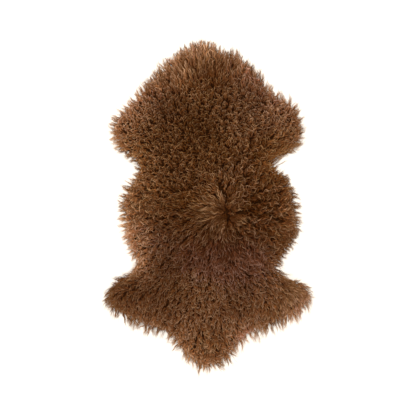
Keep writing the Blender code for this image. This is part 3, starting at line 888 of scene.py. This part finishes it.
def slab(name, loop, places, top, bottom, material):
    """A closed slab over the loop's inside, with its top at these heights."""
    flat = np.concatenate([loop, places])
    edges = [(k, (k + 1) % len(loop)) for k in range(len(loop))]
    made = geometry.delaunay_2d_cdt([Vector(p) for p in flat], edges, [], 1, 1e-9)
    flat = np.array([tuple(p) for p in made[0]])
    faces = [tuple(f) for f in made[2]]
    count = len(flat)
    upper = np.column_stack([flat, top(flat)])
    lower = np.column_stack([flat, np.full(count, bottom)])
    walls = [(b, a, a + count, b + count) for a, b in border_edges(faces)]
    under = [tuple(v + count for v in reversed(f)) for f in faces]
    mesh = bpy.data.meshes.new(name)
    mesh.from_pydata(np.concatenate([upper, lower]).tolist(), [], faces + under + walls)
    mesh.polygons.foreach_set("use_smooth", np.ones(len(mesh.polygons), bool))
    mesh.update()
    return placed(mesh, material)


def border_edges(faces):
    """The edges with one face, in that face's order."""
    edges = [edge for face in faces for edge in zip(face, face[1:] + face[:1])]
    known = set(edges)
    return [(a, b) for a, b in edges if (b, a) not in known]


def waves(places):
    """Soft bumps from -1 to 1."""
    draws = np.random.default_rng(CRIMP_SEED)
    total = np.zeros(len(places))
    for _ in range(CRIMP_WAVES):
        angle = draws.uniform(0, math.tau)
        pace = math.tau / CRIMP_SPACING * draws.uniform(*CRIMP_PACE)
        across = places[:, 0] * math.cos(angle) + places[:, 1] * math.sin(angle)
        total += np.sin(across * pace + draws.uniform(0, math.tau))
    return total / CRIMP_SUM


def bed_top(places):
    heights = cover.at(places) * BED_DEPTH + CRIMP * waves(places)
    return np.maximum(heights, BED_BOTTOM + BED_LEAST)


# ---- Materials.

# The locks darken from tip to root: partly the wool's own lighter tips, partly painted shade deep in the
# wool.
ROOT_COLOUR_AND_SHADE, TIP_COLOUR = (0.026, 0.0065, 0.0012), (0.246, 0.126, 0.058)
MIDDLE_COLOUR, MIDDLE_PLACE = (0.113, 0.0366, 0.0108), 0.38
LEAST_COLOUR = (LEAST_LIGHT, LEAST_LIGHT * 0.8, LEAST_LIGHT * 0.55)
MOST_COLOUR = (MOST_LIGHT, MOST_LIGHT * 1.16, MOST_LIGHT * 1.45)
GOLDEN, PURPLISH = (1.03, 1.0, 0.76), (1.0, 0.98, 1.24)
GREY, GREY_PLACE = (0.975, 1.01, 1.1), 0.75
# Painted highlight on the tops of the locks' waves, and painted shade in their hollows.
TROUGH_PAINTED_SHADE, CREST_PAINTED_HIGHLIGHT = (0.72, 0.68, 0.6), (1.28, 1.3, 1.34)
STREAKS_ACROSS, STREAKS_ALONG = 7.0, 5.0
DARK_STREAK, LIGHT_STREAK = (0.78, 0.78, 0.78), (1.18, 1.18, 1.18)
# The bed's near-black colours: the wool's own dark roots, and painted shade of the gaps between the locks.
BED_DARK, BED_LIGHT = (0.01, 0.003, 0.001), (0.03, 0.011, 0.003)
SKIN_DARK, SKIN_LIGHT = (0.52, 0.4, 0.27), (0.66, 0.54, 0.39)
FLOOR_NEAR, FLOOR_FAR = (0.62, 0.568, 0.505), (0.88, 0.875, 0.865)


class Nodes:
    """A material's nodes, added one after another."""

    def __init__(self, name):
        self.material = bpy.data.materials.new(name)
        self.material.use_nodes = True
        self.tree = self.material.node_tree
        self.shader = next(n for n in self.tree.nodes if n.type == "BSDF_PRINCIPLED")

    def fill(self, socket, value):
        """Gives the socket a value, or the output of another node."""
        if isinstance(value, bpy.types.NodeSocket):
            self.tree.links.new(value, socket)
        else:
            socket.default_value = value

    def add(self, kind, inputs=(), **settings):
        """The outputs of a new node, with these inputs by name or number."""
        node = self.tree.nodes.new(kind)
        for name, value in settings.items():
            setattr(node, name, value)
        for socket, value in dict(inputs).items():
            self.fill(node.inputs[socket], value)
        return node.outputs

    def math(self, operation, *values):
        return self.add("ShaderNodeMath", enumerate(values), operation=operation)[0]

    def ramp(self, source, *stops):
        """The colour at the source's value, between stops of a place and a colour."""
        node = self.tree.nodes.new("ShaderNodeValToRGB")
        elements = node.color_ramp.elements
        elements.remove(elements[1])
        for index, (place, colour) in enumerate(stops):
            element = elements[0] if index == 0 else elements.new(place)
            element.position = place
            element.color = (*colour, 1.0)
        self.fill(node.inputs["Fac"], source)
        return node.outputs["Color"]

    def multiplied(self, first, second):
        inputs = {"Factor": 1.0, "A": first, "B": second}
        return self.add("ShaderNodeMix", inputs, data_type="RGBA", blend_type="MULTIPLY")["Result"]

    def places(self):
        return self.add("ShaderNodeTexCoord")["Object"]

    def noise(self, places, scale, detail):
        inputs = {"Vector": places, "Scale": scale, "Detail": detail}
        return self.add("ShaderNodeTexNoise", inputs)["Fac"]

    def bump(self, heights, strength, distance):
        inputs = {"Height": heights, "Strength": strength, "Distance": distance}
        self.fill(self.shader.inputs["Normal"], self.add("ShaderNodeBump", inputs)["Normal"])

    def finished(self, colour, roughness, specular):
        """The material, with its surface."""
        self.fill(self.shader.inputs["Base Color"], colour)
        self.fill(self.shader.inputs["Roughness"], roughness)
        self.fill(self.shader.inputs["Specular IOR Level"], specular)
        return self.material


def wool_material():
    """Wool that is dark at the root, light at the tip, and differs from lock to lock. The dark roots are
    partly painted shade, and the waves carry painted highlight and painted shade.
    """
    wool = Nodes("wool_locks")
    uv = wool.add("ShaderNodeUVMap", uv_map="OFBake")["UV"]
    across, up, _ = wool.add("ShaderNodeSeparateXYZ", {0: uv})
    strip = wool.math("FLOOR", wool.math("MULTIPLY", across, float(LIGHTS * HUES)))
    shade = wool.math("DIVIDE", wool.math("MODULO", strip, float(LIGHTS)), LIGHTS - 1.0)
    hue = wool.math("FLOOR", wool.math("DIVIDE", strip, float(LIGHTS)))
    hue = wool.math("DIVIDE", hue, HUES - 1.0)
    along = wool.ramp(up, (0.0, ROOT_COLOUR_AND_SHADE), (MIDDLE_PLACE, MIDDLE_COLOUR), (1.0, TIP_COLOUR))
    light = wool.ramp(shade, (0.0, LEAST_COLOUR), (1.0, MOST_COLOUR))
    tint = wool.ramp(hue, (0.0, GOLDEN), (GREY_PLACE, GREY), (1.0, PURPLISH))
    # Painted highlight and painted shade along each lock, in step with its waves: light at their tops, dark
    # in their hollows.
    turn = wool.math("MULTIPLY", up, math.tau * CURLS / TIP_PLACE)
    lift = wool.math("COSINE", wool.math("ADD", turn, math.tau * FIRST_CURL))
    lift = wool.math("ADD", wool.math("MULTIPLY", lift, 0.5), 0.5)
    painted_crest_light = wool.ramp(lift, (0.0, TROUGH_PAINTED_SHADE), (1.0, CREST_PAINTED_HIGHLIGHT))
    colour = wool.multiplied(wool.multiplied(along, light), tint)
    colour = wool.multiplied(colour, painted_crest_light)
    pace = (LIGHTS * HUES * STREAKS_ACROSS, STREAKS_ALONG, 1.0)
    stretched = wool.add("ShaderNodeVectorMath", {0: uv, 1: pace}, operation="MULTIPLY")[0]
    noise = wool.noise(stretched, scale=1.0, detail=2.0)
    streaks = wool.ramp(noise, (0.25, DARK_STREAK), (0.75, LIGHT_STREAK))
    return wool.finished(wool.multiplied(colour, streaks), roughness=0.7, specular=0.0)


def bed_material():
    """Dense wool near the skin, near black: partly its own dark roots, partly painted shade of the deep
    gaps between the locks.
    """
    bed = Nodes("wool_bed")
    noise = bed.noise(bed.places(), scale=260.0, detail=4.0)
    bed.bump(noise, strength=0.6, distance=1.5 * MM)
    colour = bed.ramp(noise, (0.3, BED_DARK), (0.7, BED_LIGHT))
    return bed.finished(colour, roughness=0.85, specular=0.0)


def skin_material():
    """Tanned skin with a fine nap."""
    skin = Nodes("skin")
    places = skin.places()
    spots = skin.noise(places, scale=45.0, detail=6.0)
    nap = skin.noise(places, scale=900.0, detail=2.0)
    skin.bump(nap, strength=0.3, distance=0.4 * MM)
    colour = skin.ramp(spots, (0.3, SKIN_DARK), (0.7, SKIN_LIGHT))
    return skin.finished(colour, roughness=0.9, specular=0.2)


# ---- The rug.

def make_wool(material):
    """The locks, as pieces from the neck to the tail, and the rim's wisps."""
    wisps = rim_wisps()
    locks = wool_locks()
    made = []
    highest = math.inf
    y = locks.roots[:, 1] / MM
    for name, lowest in PIECES:
        here = (y > lowest) & (y <= highest)
        top = locks.some(here & locks.on_top, TOP_RINGS)
        lower = locks.some(here & ~locks.on_top, LOWER_RINGS)
        made.append(lock_piece(name, (top, lower), material))
        highest = lowest
    made.append(lock_piece("wool_wisps", (wisps,), material))
    return made


def make_rug():
    wool = wool_material()
    bed = slab(
        "wool_bed", inset_loop(BED_INSET, BED_STEP), within(BED_STEP, BED_INSET),
        bed_top, BED_BOTTOM, bed_material(),
    )
    pieces = make_wool(wool)
    hide = slab(
        "hide", inset_loop(SKIN_INSET, SKIN_STEP), within(SKIN_STEP, SKIN_INSET),
        lambda places: np.full(len(places), SKIN_THICKNESS), 0.0, skin_material(),
    )
    for piece in (bed, *pieces):
        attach(piece, "root")
    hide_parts("pelt")
    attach(hide, "root")
    points = mesh_points(hide)


# ---- Floor, light and camera.

def make_floor():
    mesh = bpy.data.meshes.new("floor")
    corners = [(-1, -1, 0), (1, -1, 0), (1, 1, 0), (-1, 1, 0)]
    mesh.from_pydata([Vector(c) * FLOOR_HALF for c in corners], [], [(0, 1, 2, 3)])
    nodes = Nodes("floor")
    far = nodes.add("ShaderNodeVectorMath", {0: nodes.places()}, operation="LENGTH")["Value"]
    share = nodes.math("DIVIDE", far, FLOOR_HALF)
    colour = nodes.ramp(share, (0.12, FLOOR_NEAR), (0.4, FLOOR_FAR))
    floor = placed(mesh, nodes.finished(colour, roughness=0.9, specular=0.1))


def make_light():
    data = bpy.data.lights.new("key", "AREA")
    data.shape = "DISK"
    data.size = KEY_SIZE
    data.energy = KEY_POWER
    light = linked("key", data)
    light.location = KEY_PLACE
    light.rotation_mode = "QUATERNION"
    light.rotation_quaternion = (-Vector(KEY_PLACE)).to_track_quat("-Z", "Y")


def make_world():
    world = bpy.data.worlds.new("studio")
    world.use_nodes = True
    background = world.node_tree.nodes["Background"]
    background.inputs["Color"].default_value = (1.0, 1.0, 1.0, 1.0)
    background.inputs["Strength"].default_value = WORLD_LIGHT
    bpy.context.scene.world = world


def make_camera():
    data = bpy.data.cameras.new("camera")
    data.lens = LENS_MM
    data.sensor_width = SENSOR_MM
    camera = linked("camera", data)
    middle = PICTURE_PX / 2
    x = (middle - PELT_CENTRE_PX[0]) * PIXEL
    y = (PELT_CENTRE_PX[1] - middle) * PIXEL
    distance = PICTURE_PX * PIXEL / SENSOR_MM * LENS_MM
    camera.location = (x, y, AIMED_HEIGHT + distance)
    bpy.context.scene.camera = camera


make_rug()
make_floor()
make_light()
make_world()
make_camera()
bpy.context.scene.view_settings.view_transform = "Standard"
